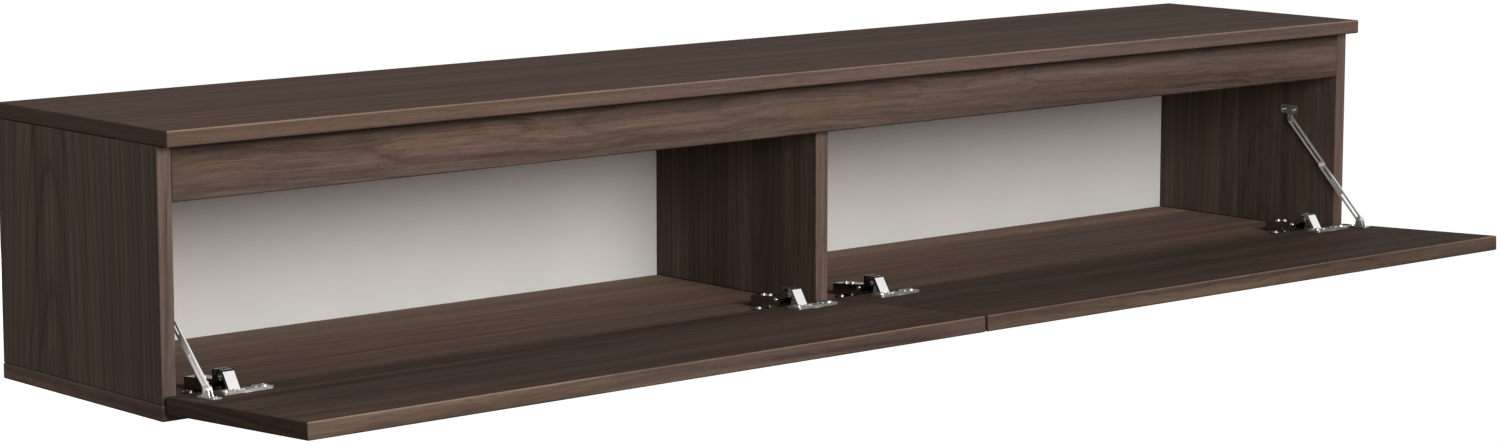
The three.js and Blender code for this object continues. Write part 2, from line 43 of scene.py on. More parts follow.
cameraLook = {
    "place": (-2.8408, -3.4358, 0.4956),
    "turnRight": 40.9955,  # degrees away from facing the wall squarely
    "lookDown": 8.4083,  # degrees below level
    "lens": 89.24,  # millimetres, for a sensor as wide as the next line says
    "sensor": 36.0,
    "nearest": 0.05,
    "farthest": 200,
}


def addCamera():
    data = bpy.data.cameras.new("photoCamera")
    data.lens = cameraLook["lens"]
    data.sensor_width = cameraLook["sensor"]
    data.clip_start = cameraLook["nearest"]
    data.clip_end = cameraLook["farthest"]
    camera = bpy.data.objects.new("photoCamera", data)
    camera.location = cameraLook["place"]
    camera.rotation_euler = (
        math.radians(90 - cameraLook["lookDown"]), 0, -math.radians(cameraLook["turnRight"]))
    bpy.context.scene.collection.objects.link(camera)
    bpy.context.scene.camera = camera


addCamera()
print("camera placed")


# Node helpers, for shaders and Geometry Nodes alike

def addNode(tree, kind, inputs=None, **settings):
    # an input's value is a number, a colour or another node's output, which is then linked
    node = tree.nodes.new(kind)
    for key, value in settings.items():
        setattr(node, key, value)
    for key, value in (inputs or {}).items():
        if isinstance(value, bpy.types.NodeSocket):
            tree.links.new(value, node.inputs[key])
        else:
            node.inputs[key].default_value = value
    return node


def maths(tree, operation, first, second=None, third=None, clamp=False):
    inputs = {0: first}
    if second is not None:
        inputs[1] = second
    if third is not None:
        inputs[2] = third
    return addNode(tree, "ShaderNodeMath", inputs, operation=operation, use_clamp=clamp).outputs[0]


def vector(tree, x=0.0, y=0.0, z=0.0):
    return addNode(tree, "ShaderNodeCombineXYZ", {"X": x, "Y": y, "Z": z}).outputs["Vector"]


def axesOf(tree, place):
    return addNode(tree, "ShaderNodeSeparateXYZ", {"Vector": place}).outputs


# Shader helpers

noiseRange = (0.3, 0.7)  # where most of a noise's values lie
edgeSamples = 6


def ramp(tree, factor, stops):
    node = addNode(tree, "ShaderNodeValToRGB", {"Fac": factor})
    points = node.color_ramp.elements
    while len(points) < len(stops):
        points.new(0.5)
    for point, (place, colour) in zip(points, stops):
        point.position = place
        point.color = (*colour, 1)
    return node.outputs["Color"]


def mixColours(tree, factor, first, second, blend="MIX"):
    # the Mix node's colours are its inputs 6 and 7 and its output 2
    node = addNode(tree, "ShaderNodeMix", data_type="RGBA", blend_type=blend)
    for socket, value in ((node.inputs[0], factor), (node.inputs[6], first), (node.inputs[7], second)):
        if isinstance(value, bpy.types.NodeSocket):
            tree.links.new(value, socket)
        elif isinstance(value, tuple):
            socket.default_value = (*value, 1)
        else:
            socket.default_value = value
    return node.outputs[2]


def spread(tree, value, low, high, newLow=0.0, newHigh=1.0):
    return addNode(tree, "ShaderNodeMapRange", {
        "Value": value, "From Min": low, "From Max": high, "To Min": newLow, "To Max": newHigh,
    }).outputs["Result"]


def stretchedNoise(tree, place, scale, detail=2, rough=0.5):
    # scale is how often the noise repeats per metre along, across and through the grain
    mapped = addNode(tree, "ShaderNodeMapping", {"Vector": place, "Scale": scale})
    return addNode(tree, "ShaderNodeTexNoise", {
        "Vector": mapped.outputs["Vector"], "Scale": 1.0, "Detail": detail, "Roughness": rough,
    }).outputs["Fac"]


def softNormal(tree, radius):
    return addNode(tree, "ShaderNodeBevel", {"Radius": radius}, samples=edgeSamples).outputs["Normal"]


def startMaterial(name):
    material = bpy.data.materials.new(name)
    material.use_nodes = True
    tree = material.node_tree
    tree.nodes.clear()
    shader = addNode(tree, "ShaderNodeBsdfPrincipled")
    addNode(tree, "ShaderNodeOutputMaterial", {"Surface": shader.outputs[0]})
    place = addNode(tree, "ShaderNodeTexCoord").outputs["Object"]
    return material, tree, shader, place


def finishShader(tree, shader, colour, roughness, height, relief):
    # relief gives the bump's strength and depth, and the radius that softens the edges
    tree.links.new(colour, shader.inputs["Base Color"])
    tree.links.new(roughness, shader.inputs["Roughness"])
    bump = addNode(tree, "ShaderNodeBump", {
        "Height": height, "Strength": relief["strength"], "Distance": relief["depth"],
        "Normal": softNormal(tree, relief["edge"])})
    tree.links.new(bump.outputs["Normal"], shader.inputs["Normal"])


# Walnut veneer: growth rings cut at a slant, streaks, fibres and open pores, under matt lacquer

walnutLook = {
    "dark": (0.044, 0.0285, 0.0245),
    "middle": (0.098, 0.0645, 0.0480),
    "light": (0.180, 0.1230, 0.0880),
    "stops": ((0.20, "dark"), (0.50, "middle"), (0.80, "light")),
    "greyCast": (0.084, 0.0640, 0.0520),  # mixed in where the wood is greyer, in soft clouds
    "greyShare": 0.45,  # how much of it, where the clouds are strongest
    "cloudRange": (0.45, 0.70),
    "olive": (1.01, 1.00, 0.95),  # the wood's colour is multiplied by a tint between these two
    "violet": (0.985, 0.975, 1.06),
    "hueRange": (0.38, 0.62),
    "pore": (0.030, 0.0195, 0.0150),
    "poreShare": 0.40,
    "poreRange": (0.60, 0.70),
    "ringsPerMetre": 120.0,
    "ringShades": ((0.0, 0.22), (0.12, 0.50), (0.60, 0.64), (0.92, 0.48), (1.0, 0.22)),
    "weights": {"rings": 0.30, "bands": 0.70, "streaks": 0.72, "fibres": 0.38},
    "swing": 0.030,  # metres that the grain wanders sideways in long bends
    "ripple": 0.006,  # and in short ones
    "edgeHighlight": 1.45,  # painted highlight: what the tone gains on upper front edges
    "lowerEdgeShade": 0.60,  # and the painted shade: what it loses on lower edges
    "wallLightZone": (-0.33, -0.06),  # painted light: the board lightens from in front of the console to near the wall
    "overhangShadeZone": (0.017, 0.033),  # heights close under the top board, where the shadow of its overhang is painted
    "fibreHeight": 0.5,
    "roughness": (0.58, 0.70),
    "relief": {"strength": 0.30, "depth": 0.0003, "edge": 0.0016},
}
walnutScales = {
    "swing": (3.0, 5, 5),
    "ripple": (11, 22, 22),
    "bands": (0.9, 26, 26),
    "streaks": (1.6, 120, 120),
    "fibres": (16, 620, 620),
    "pores": (42, 1500, 1500),
    "clouds": (1.3, 9, 9),
    "hues": (0.8, 55, 55),
}
endFacing = 0.7  # how squarely a face looks along the grain to count as a board's end


def scaled(values, factor):
    return tuple(value * factor for value in values)


def edgeShade(tree, frontEdge):
    # painted highlight and shade: upper front edges are painted paler and lower edges darker
    turned = addNode(tree, "ShaderNodeVectorTransform", {
        "Vector": softNormal(tree, walnutLook["relief"]["edge"])},
        vector_type="NORMAL", convert_from="WORLD", convert_to="OBJECT")
    axes = axesOf(tree, turned.outputs["Vector"])
    twiceUp = maths(tree, "MULTIPLY", axes["Z"], 2.0)
    frontward = maths(tree, "MULTIPLY", axes["Y"], -1.0)
    highlit = maths(tree, "MULTIPLY", twiceUp, frontward, clamp=True)
    sideways = maths(tree, "ADD", maths(tree, "ABSOLUTE", axes["X"]), maths(tree, "ABSOLUTE", axes["Y"]))
    dark = maths(tree, "MULTIPLY", maths(tree, "MULTIPLY", twiceUp, -1.0), sideways, clamp=True)
    banded = maths(tree, "MULTIPLY_ADD", maths(tree, "MAXIMUM", frontward, 0.0), frontEdge - 1.0, 1.0)
    paler = maths(tree, "MULTIPLY_ADD", highlit, walnutLook["edgeHighlight"], banded)
    return maths(tree, "MULTIPLY_ADD", dark, -walnutLook["lowerEdgeShade"], paler)


def grainPlace(tree, place, turn):
    # on a board's ends the edge band's grain runs along the end, so the directions change places there
    turned = addNode(tree, "ShaderNodeMapping", {"Vector": place, "Rotation": turn}).outputs["Vector"]
    normal = addNode(tree, "ShaderNodeTexCoord").outputs["Normal"]
    facing = addNode(tree, "ShaderNodeMapping", {"Vector": normal, "Rotation": turn}).outputs["Vector"]
    along = maths(tree, "ABSOLUTE", axesOf(tree, facing)["X"])
    onEnd = maths(tree, "GREATER_THAN", along, endFacing)
    axes = axesOf(tree, turned)
    swapped = vector(tree, axes["Y"], axes["Z"], axes["X"])
    # the Mix node's vectors are its inputs 4 and 5 and its output 1
    mix = addNode(tree, "ShaderNodeMix", {0: onEnd, 4: turned, 5: swapped}, data_type="VECTOR")
    return mix.outputs[1]


def wanderingGrain(tree, centred, wave):
    # the grain wanders sideways along the board
    swing = maths(tree, "SUBTRACT", stretchedNoise(tree, centred, walnutScales["swing"]), 0.5)
    ripple = maths(tree, "SUBTRACT", stretchedNoise(tree, centred, walnutScales["ripple"]), 0.5)
    rippled = maths(tree, "MULTIPLY", ripple, walnutLook["ripple"] * wave)
    aside = maths(tree, "MULTIPLY_ADD", swing, walnutLook["swing"] * wave, rippled)
    return addNode(tree, "ShaderNodeVectorMath", {
        0: centred, 1: vector(tree, y=aside, z=aside)}, operation="ADD").outputs["Vector"]


def growthRings(tree, grain, slant):
    # rings round the log's heart, which comes nearer or goes deeper along the board
    axes = axesOf(tree, grain)
    depth = maths(tree, "MULTIPLY_ADD", axes["X"], slant, axes["Z"])
    radius = maths(tree, "SQRT", maths(tree, "ADD",
        maths(tree, "MULTIPLY", axes["Y"], axes["Y"]), maths(tree, "MULTIPLY", depth, depth)))
    place = maths(tree, "FRACT", maths(tree, "MULTIPLY", radius, walnutLook["ringsPerMetre"]))
    greys = ramp(tree, place, [(stop, (grey, grey, grey)) for stop, grey in walnutLook["ringShades"]])
    return addNode(tree, "ShaderNodeRGBToBW", {"Color": greys}).outputs["Val"]


def paintLightAndShade(tree, wood, place, front, corner, frontEdge):
    # paints light and shade into the wood: edge highlights and lower-edge shade, light near the wall and
    # the shadow under the top's overhang
    spot = axesOf(tree, place)
    tone = maths(tree, "MULTIPLY", edgeShade(tree, frontEdge),
        spread(tree, spot["Y"], *walnutLook["wallLightZone"], front, 1.0))
    tone = maths(tree, "MULTIPLY", tone, spread(tree, spot["Z"], *walnutLook["overhangShadeZone"], 1.0, corner))
    return addNode(tree, "ShaderNodeVectorMath", {
        0: wood, "Scale": tone}, operation="SCALE").outputs["Vector"]


def walnut(finish, turn, heart, slant, tone=1.0, contrast=1.0, figure=1.0, fine=1.0, wave=1.0,
        gloss=0.006, front=1.0, corner=1.0, frontEdge=1.0):
    look, scales, weights = walnutLook, walnutScales, walnutLook["weights"]
    material, tree, shader, place = startMaterial(finish)
    centred = addNode(tree, "ShaderNodeVectorMath", {
        0: grainPlace(tree, place, turn), 1: heart}, operation="SUBTRACT").outputs["Vector"]
    grain = wanderingGrain(tree, centred, wave)

    rings = growthRings(tree, grain, slant)
    bands = stretchedNoise(tree, grain, scales["bands"])
    streaks = stretchedNoise(tree, grain, scaled(scales["streaks"], fine), detail=4, rough=0.6)
    fibres = stretchedNoise(tree, grain, scales["fibres"], detail=3, rough=0.6)
    pores = spread(tree, stretchedNoise(tree, grain, scales["pores"], detail=1), *look["poreRange"])
    clouds = stretchedNoise(tree, centred, scales["clouds"])
    hues = stretchedNoise(tree, grain, scales["hues"])

    # each pattern is centred on a half, so that its weight only sets how strongly it shows
    shade = 0.5
    for pattern, weight in ((rings, weights["rings"] * figure), (bands, weights["bands"]),
            (streaks, weights["streaks"]), (fibres, weights["fibres"])):
        centredPattern = maths(tree, "SUBTRACT", pattern, 0.5)
        shade = maths(tree, "MULTIPLY_ADD", centredPattern, weight * contrast, shade)
    wood = ramp(tree, shade, [(stop, scaled(look[colour], tone)) for stop, colour in look["stops"]])
    greyness = spread(tree, clouds, *look["cloudRange"], 0.0, look["greyShare"])
    wood = mixColours(tree, greyness, wood, scaled(look["greyCast"], tone))
    tint = mixColours(tree, spread(tree, hues, *look["hueRange"]), look["olive"], look["violet"])
    wood = mixColours(tree, 1.0, wood, tint, blend="MULTIPLY")
    wood = mixColours(tree, maths(tree, "MULTIPLY", pores, look["poreShare"]), wood, look["pore"])
    # painted light and shade on top of the wood's own colour
    wood = paintLightAndShade(tree, wood, place, front, corner, frontEdge)

    height = maths(tree, "SUBTRACT", maths(tree, "MULTIPLY", fibres, look["fibreHeight"]), pores)
    roughness = spread(tree, fibres, *noiseRange, *look["roughness"])
    finishShader(tree, shader, wood, roughness, height, look["relief"])
    shader.inputs["Specular IOR Level"].default_value = gloss
    return material


# Turns that lay a board's grain along the pattern's first direction and its thickness along the third
alongX = (0, 0, 0)
upright = (0, math.radians(90), 0)
railTurn = (math.radians(90), 0, 0)

# heart: where the log's heart lies under the face, and slant: how fast it nears the face
# tone, contrast, wave and gloss: the board's own, against the plain veneer's
# figure: how strongly the growth rings show, and fine: how close the streaks lie
# front: the tone along the front edge, as a share of that at the wall; painted light that makes the board
# lighter towards the wall
# corner: the tone close under the top board, a painted shadow of its overhang, and frontEdge: that of the
# front edge's band
walnutBoards = {
    "top_panel": {"finish": "walnutTop", "turn": alongX, "heart": (0.35, -0.21, 0.02), "slant": 0.035,
        "tone": 1.12, "contrast": 0.6, "figure": 0.5, "wave": 0.5},
    # the floor board's front value is painted light: lighter near the wall, where light from the pale back
    # board falls
    "bottom_panel": {"finish": "walnutFloor", "turn": alongX, "heart": (-0.9, -0.16, -0.30), "slant": 0.03,
        "tone": 2.0, "contrast": 0.8, "figure": 0.7, "wave": 0.6, "front": 0.62},
    "left_side_panel": {
        "finish": "walnutLeftSide", "turn": upright, "heart": (-0.45, -0.103, 0.8531), "slant": 0.06,
        "tone": 0.95, "contrast": 1.35, "figure": 1.8, "wave": 0.35, "gloss": 0.05, "frontEdge": 1.45},
    "right_side_panel": {
        "finish": "walnutRightSide", "turn": upright, "heart": (-0.60, -0.19, -0.95), "slant": 0.06,
        "tone": 0.72, "wave": 0.4, "gloss": 0.09, "frontEdge": 1.55},
    "centre_divider": {
        "finish": "walnutDivider", "turn": upright, "heart": (-0.53, -0.19, 0.055), "slant": 0.06,
        "tone": 0.80, "figure": 1.3, "wave": 0.3, "gloss": 0.09, "frontEdge": 1.3},
    # the rail's corner value is painted shade: the shadow under the top board's overhang
    "front_rail": {"finish": "walnutRail", "turn": railTurn, "heart": (0.75, -0.02, -0.29), "slant": 0.03,
        "tone": 0.93, "contrast": 1.1, "wave": 1.1, "corner": 0.35, "fine": 1.6},
    # painted shade, in part: the flaps' lower tones also stand in for the dimmer light on the open flaps
    "left_flap": {"finish": "walnutLeftFlap", "turn": alongX, "heart": (-1.6, -0.40, -0.22), "slant": 0.04,
        "tone": 0.84, "wave": 0.8},
    "right_flap": {"finish": "walnutRightFlap", "turn": alongX, "heart": (1.9, -0.42, -0.22), "slant": 0.04,
        "tone": 0.80, "wave": 0.8},
    "left_hanging_rail": {
        "finish": "walnutHangingRails", "turn": railTurn, "heart": (0.3, -0.02, 0.06), "slant": 0.03},
}
boardGrain = {name: walnut(**board) for name, board in walnutBoards.items()}
boardGrain["right_hanging_rail"] = boardGrain["left_hanging_rail"]


# Painted back board

backLook = {
    "low": (0.575, 0.560, 0.534),  # painted light: the paint is a little warmer towards the top, where light bounced from the wood falls
    "high": (0.599, 0.534, 0.503),
    "bounceLightZone": (-0.235, -0.05),
    "patch": (0.953, 0.953, 0.952),  # the paint's colour is multiplied by this in faint patches
    "patchScale": (9, 9, 9),
    "patchRange": (0.35, 0.7),
    "rollerScale": (900, 900, 900),
    "roughness": (0.58, 0.70),
    "specular": 0.20,
    "relief": {"strength": 0.2, "depth": 0.0001, "edge": 0.0005},
}


def paintedBoard(name):
    look = backLook
    material, tree, shader, place = startMaterial(name)
    mottle = stretchedNoise(tree, place, look["patchScale"], detail=4)
    roller = stretchedNoise(tree, place, look["rollerScale"])
    # painted bounce light: warmer colour towards the top
    bounceLight = spread(tree, axesOf(tree, place)["Z"], *look["bounceLightZone"])
    paint = mixColours(tree, bounceLight, look["low"], look["high"])
    patches = mixColours(tree, spread(tree, mottle, *look["patchRange"]), (1.0, 1.0, 1.0), look["patch"])
    paint = mixColours(tree, 1.0, paint, patches, blend="MULTIPLY")
    roughness = spread(tree, roller, *noiseRange, *look["roughness"])
    finishShader(tree, shader, paint, roughness, roller, look["relief"])
    shader.inputs["Specular IOR Level"].default_value = look["specular"]
    return material


# Plated steel of the hinges and stays, stained here and there and finely brushed

platingLooks = {
    "nickelPlate": {"bright": (0.86, 0.85, 0.83), "dull": (0.76, 0.75, 0.73), "roughness": (0.12, 0.20)},
    "satinPlate": {"bright": (0.84, 0.825, 0.805), "dull": (0.70, 0.685, 0.665), "roughness": (0.40, 0.48)},
    "greyPlate": {"bright": (0.50, 0.485, 0.465), "dull": (0.42, 0.405, 0.39), "roughness": (0.28, 0.36)},
    "darkPlate": {"bright": (0.23, 0.22, 0.212), "dull": (0.17, 0.163, 0.156), "roughness": (0.14, 0.22)},
    "screwPlate": {"bright": (0.88, 0.87, 0.85), "dull": (0.72, 0.71, 0.69), "roughness": (0.12, 0.22)},
    "springSteel": {"bright": (0.52, 0.50, 0.48), "dull": (0.36, 0.35, 0.335), "roughness": (0.20, 0.32)},
}
platingPattern = {
    "stainScale": (40, 40, 40),
    "wearRange": (0.38, 0.72),
    "brushScale": (260, 3400, 3400),
    "brushRoughness": 0.04,
    "relief": {"strength": 0.10, "depth": 0.00003, "edge": 0.0004},
}


def platedSteel(name):
    look, pattern = platingLooks[name], platingPattern
    material, tree, shader, place = startMaterial(name)
    stain = stretchedNoise(tree, place, pattern["stainScale"], detail=3, rough=0.55)
    brush = stretchedNoise(tree, place, pattern["brushScale"])
    wear = spread(tree, stain, *pattern["wearRange"])
    metal = mixColours(tree, wear, look["bright"], look["dull"])
    stained = spread(tree, stain, *noiseRange, *look["roughness"])
    roughness = maths(tree, "MULTIPLY_ADD", brush, pattern["brushRoughness"], stained)
    finishShader(tree, shader, metal, roughness, brush, pattern["relief"])
    shader.inputs["Metallic"].default_value = 1.0
    return material


# Beech of the dowels

beechLook = {
    "pale": (0.56, 0.40, 0.24),
    "fleck": (0.40, 0.26, 0.15),
    "fleckScale": (500, 500, 18),
    "fleckRange": (0.35, 0.7),
    "roughness": (0.55, 0.75),
    "relief": {"strength": 0.3, "depth": 0.0003, "edge": 0.0004},
}


def beechWood(name):
    look = beechLook
    material, tree, shader, place = startMaterial(name)
    flecks = stretchedNoise(tree, place, look["fleckScale"], detail=3)
    colour = mixColours(tree, spread(tree, flecks, *look["fleckRange"]), look["pale"], look["fleck"])
    roughness = spread(tree, flecks, *noiseRange, *look["roughness"])
    finishShader(tree, shader, colour, roughness, flecks, look["relief"])
    return material


backPaint = paintedBoard("backPaint")
plating = {name: platedSteel(name) for name in platingLooks}
beech = beechWood("beechDowel")

# How the names of the brighter steel solids end. The other steel solids are dark; on the stays' side
# brackets this dark plating is painted shade, for the shade they lie in.
plateEndings = {
    "nickelPlate": ("_hinge_link", "_slide_pin"),
    "satinPlate": ("_upper_link", "_lower_link"),
    "greyPlate": ("_hinge_cup", "_foot"),
}


def materialOf(name):
    if name in boardGrain:
        return boardGrain[name]
    if name == "back_panel":
        return backPaint
    if name.startswith("dowel_"):
        return beech
    for plate, endings in plateEndings.items():
        if name.endswith(endings):
            return plating[plate]
    # on the stays' side brackets the dark plating is painted shade
    return plating["darkPlate"]


for name, node in nodes.items():
    node.data.materials.clear()
    node.data.materials.append(materialOf(name))
print("finishes on", len(nodes), "solids")


# Geometry Nodes helpers

def startTree(name, sizes):
    tree = bpy.data.node_groups.new(name, "GeometryNodeTree")
    sockets = {}
    tree.interface.new_socket("Geometry", in_out="INPUT", socket_type="NodeSocketGeometry")
    for label, kind in sizes.items():
        sockets[label] = tree.interface.new_socket(label, in_out="INPUT", socket_type=kind).identifier
    tree.interface.new_socket("Geometry", in_out="OUTPUT", socket_type="NodeSocketGeometry")
    given = addNode(tree, "NodeGroupInput").outputs
    return tree, sockets, given


def finishTree(tree, given, geometry, smooth=True):
    real = addNode(tree, "GeometryNodeRealizeInstances", {"Geometry": geometry}).outputs["Geometry"]
    shaded = addNode(tree, "GeometryNodeSetShadeSmooth", {
        "Geometry": real, "Shade Smooth": smooth}).outputs["Geometry"]
    painted = addNode(tree, "GeometryNodeSetMaterial", {
        "Geometry": shaded, "Material": given["Material"]}).outputs["Geometry"]
    addNode(tree, "NodeGroupOutput", {"Geometry": painted})


def faceAndTurn(tree, places, shape, seed):
    # puts the shape on every place, upright along its facing and turned by chance about it
    facing = addNode(tree, "GeometryNodeInputNamedAttribute", {"Name": "facing"},
        data_type="FLOAT_VECTOR").outputs["Attribute"]
    aligned = addNode(tree, "FunctionNodeAlignRotationToVector", {"Vector": facing}, axis="Z")
    spin = addNode(tree, "FunctionNodeRandomValue", {
        "Min": (0, 0, 0), "Max": (0, 0, math.pi), "Seed": seed}, data_type="FLOAT_VECTOR")
    copies = addNode(tree, "GeometryNodeInstanceOnPoints", {
        "Points": places, "Instance": shape, "Rotation": aligned.outputs["Rotation"]})
    return addNode(tree, "GeometryNodeRotateInstances", {
        "Instances": copies.outputs["Instances"], "Rotation": spin.outputs["Value"],
        "Local Space": True}).outputs["Instances"]


def raisedBy(tree, geometry, height):
    return addNode(tree, "GeometryNodeTransform", {
        "Geometry": geometry, "Translation": vector(tree, z=height)}).outputs["Geometry"]


def placesMesh(name, places):
    # one point for each place, with the way that its fastener faces
    mesh = bpy.data.meshes.new(name)
    mesh.from_pydata([place for place, facing in places], [], [])
    facings = mesh.attributes.new("facing", "FLOAT_VECTOR", "POINT")
    facings.data.foreach_set("vector", [value for place, facing in places for value in facing])
    return mesh


def growPiece(name, places, kind, values, body):
    # runs the tree on the places, keeps the result as a plain mesh and lets it ride on the body
    tree, sockets = kind
    holder = bpy.data.objects.new(name + "_places", placesMesh(name + "_places", places))
    bpy.context.scene.collection.objects.link(holder)
    modifier = holder.modifiers.new("grow", "NODES")
    modifier.node_group = tree
    for label, value in values.items():
        modifier[sockets[label]] = value
    bpy.context.view_layer.update()
    grown = holder.evaluated_get(bpy.context.evaluated_depsgraph_get())
    mesh = bpy.data.meshes.new_from_object(grown)
    mesh.name = name
    holder.modifiers.remove(modifier)
    bpy.data.objects.remove(holder)
    piece = bpy.data.objects.new(name, mesh)
    bpy.context.scene.collection.objects.link(piece)
    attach(piece, body)


# Cross-head screws: a low crowned head with two crossed bars cut out of it

screwShape = {
    "around": 28,
    "sideRows": 2,
    "capRings": 4,
    "justAboveMiddle": 0.00001,
    "recessShare": 1.05,  # each bar's length, as a share of the head's radius
    "barShare": 0.62,  # the bars' middle, as a share of the head's height
    "seed": 7,
}


def crownedHead(tree, radius, edge, crown):
    head = addNode(tree, "GeometryNodeMeshCylinder", {
        "Vertices": screwShape["around"], "Side Segments": screwShape["sideRows"],
        "Fill Segments": screwShape["capRings"], "Radius": radius, "Depth": edge})
    axes = axesOf(tree, addNode(tree, "GeometryNodeInputPosition").outputs["Position"])
    flat = vector(tree, x=axes["X"], y=axes["Y"])
    reach = addNode(tree, "ShaderNodeVectorMath", {0: flat}, operation="LENGTH").outputs["Value"]
    share = maths(tree, "DIVIDE", reach, radius)
    fall = maths(tree, "SUBTRACT", 1.0, maths(tree, "MULTIPLY", share, share), clamp=True)
    onTop = maths(tree, "GREATER_THAN", axes["Z"], screwShape["justAboveMiddle"])
    lift = maths(tree, "MULTIPLY", maths(tree, "MULTIPLY", crown, fall), onTop)
    return addNode(tree, "GeometryNodeSetPosition", {
        "Geometry": head.outputs["Mesh"], "Offset": vector(tree, z=lift)}).outputs["Geometry"]


def screwTree():
    tree, sockets, given = startTree("crossHeadScrews", {
        "Head Radius": "NodeSocketFloat", "Edge Height": "NodeSocketFloat",
        "Crown Height": "NodeSocketFloat", "Recess Width": "NodeSocketFloat",
        "Material": "NodeSocketMaterial"})
    radius, edge, crown = given["Head Radius"], given["Edge Height"], given["Crown Height"]
    width = given["Recess Width"]
    length = maths(tree, "MULTIPLY", radius, screwShape["recessShare"])
    whole = maths(tree, "ADD", edge, crown)
    carve = addNode(tree, "GeometryNodeMeshBoolean", {
        "Mesh 1": crownedHead(tree, radius, edge, crown)}, operation="DIFFERENCE")
    for size in (vector(tree, length, width, whole), vector(tree, width, length, whole)):
        bar = addNode(tree, "GeometryNodeMeshCube", {"Size": size}).outputs["Mesh"]
        placed = raisedBy(tree, bar, maths(tree, "MULTIPLY", whole, screwShape["barShare"]))
        tree.links.new(placed, carve.inputs["Mesh 2"])
    seated = raisedBy(tree, carve.outputs["Mesh"], maths(tree, "MULTIPLY", edge, 0.5))
    finishTree(tree, given, faceAndTurn(tree, given["Geometry"], seated, screwShape["seed"]), smooth=False)
    return tree, sockets


# Round rivet heads

rivetShape = {"around": 24, "rings": 12, "seed": 3}


def rivetTree():
    tree, sockets, given = startTree("rivetHeads", {
        "Radius": "NodeSocketFloat", "Height": "NodeSocketFloat", "Material": "NodeSocketMaterial"})
    ball = addNode(tree, "GeometryNodeMeshUVSphere", {
        "Segments": rivetShape["around"], "Rings": rivetShape["rings"], "Radius": 1.0})
    head = addNode(tree, "GeometryNodeTransform", {
        "Geometry": ball.outputs["Mesh"],
        "Scale": vector(tree, given["Radius"], given["Radius"], given["Height"])}).outputs["Geometry"]
    finishTree(tree, given, faceAndTurn(tree, given["Geometry"], head, rivetShape["seed"]))
    return tree, sockets


# Coiled hinge springs, wound round the cup pin

springShape = {"stepsPerTurn": 20, "wireSides": 8, "seed": 5}


def springTree():
    tree, sockets, given = startTree("hingeSprings", {
        "Coil Radius": "NodeSocketFloat", "Wire Radius": "NodeSocketFloat",
        "Length": "NodeSocketFloat", "Turns": "NodeSocketFloat", "Material": "NodeSocketMaterial"})
    coil = addNode(tree, "GeometryNodeCurveSpiral", {
        "Resolution": springShape["stepsPerTurn"], "Rotations": given["Turns"],
        "Start Radius": given["Coil Radius"], "End Radius": given["Coil Radius"],
        "Height": given["Length"]})
    section = addNode(tree, "GeometryNodeCurvePrimitiveCircle", {
        "Resolution": springShape["wireSides"], "Radius": given["Wire Radius"]})
    wire = addNode(tree, "GeometryNodeCurveToMesh", {
        "Curve": coil.outputs["Curve"], "Profile Curve": section.outputs["Curve"], "Fill Caps": True})
    finishTree(tree, given, faceAndTurn(
        tree, given["Geometry"], wire.outputs["Mesh"], springShape["seed"]))
    return tree, sockets


screws, rivets, springs = screwTree(), rivetTree(), springTree()
print("fastener trees built")


# Where the fasteners sit, in metres from the edges and middles of the solids that they hold

hardware = {
    "flangeScrew": {"apart": 0.046, "pastCup": 0.0085},
    "flangeRivet": {"apart": 0.025, "pastCup": 0.0090},
    "wingScrew": {"apart": 0.032, "fromFront": 0.025, "plate": 0.002},
    "adjusters": (0.013, 0.024),  # down the arm's roof from its rear end
    "cheekRivet": {"fromRear": 0.0434, "up": 0.0105},
    "bracketScrew": {"apart": 0.0174, "fromTop": 0.006, "plate": 0.002},
    "footScrew": {"apart": 0.0224, "fromSide": 0.0072, "plate": 0.0018},
    "spring": {"fromMiddle": 0.0075, "down": 0.0043, "back": 0.011},
}
fastenerSizes = {
    "screw": {
        "Head Radius": 0.0035, "Edge Height": 0.0011, "Crown Height": 0.0009, "Recess Width": 0.0010},
    "smallScrew": {
        "Head Radius": 0.0026, "Edge Height": 0.0007, "Crown Height": 0.0007, "Recess Width": 0.0008},
    "adjuster": {
        "Head Radius": 0.0034, "Edge Height": 0.0012, "Crown Height": 0.0004, "Recess Width": 0.0010},
    "flangeRivet": {"Radius": 0.0024, "Height": 0.0009},
    "cheekRivet": {"Radius": 0.0027, "Height": 0.0010},
    "spring": {"Coil Radius": 0.0021, "Wire Radius": 0.00042, "Length": 0.0046, "Turns": 4.5},
}
roofHeel = (0.035, 0.045)  # the arm's roof stops sloping between these distances from its rear end
hair = 0.0001  # what is nearer than this counts as the same place
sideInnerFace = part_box("right_side_panel")[0].x
flapTilt = math.radians(2.8)  # the open flap still rises this much outwards
flapOut = Vector((0, -math.cos(flapTilt), math.sin(flapTilt)))
flapUp = Vector((0, math.sin(flapTilt), math.cos(flapTilt)))
up = Vector((0, 0, 1))


def middle(name):
    low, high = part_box(name)
    return (low + high) / 2


def cornersOf(name):
    return [vertex.co.copy() for vertex in nodes[name].data.vertices]


def cupFace(cup):
    # the cup's middle at the top of its flange
    points = cornersOf(cup)
    top = max(point.dot(flapUp) for point in points)
    outs = [point.dot(flapOut) for point in points]
    radius = (max(outs) - min(outs)) / 2
    centre = flapOut * (min(outs) + radius) + flapUp * top
    return Vector((middle(cup).x, centre.y, centre.z))


def roofPoint(arm, fromRear):
    # a point on the arm's sloping roof, with the way that the roof faces
    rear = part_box(arm)[1].y
    nearest, farthest = roofHeel
    points = cornersOf(arm)
    rearTop = max(point.z for point in points if point.y > rear - hair)
    heel = max((point for point in points if nearest < rear - point.y < farthest), key=lambda p: p.z)
    slope = Vector((0, heel.y - rear, heel.z - rearTop))
    facing = Vector((0, slope.z, -slope.y)).normalized()
    return Vector((middle(arm).x, rear, rearTop)) + slope.normalized() * fromRear, facing


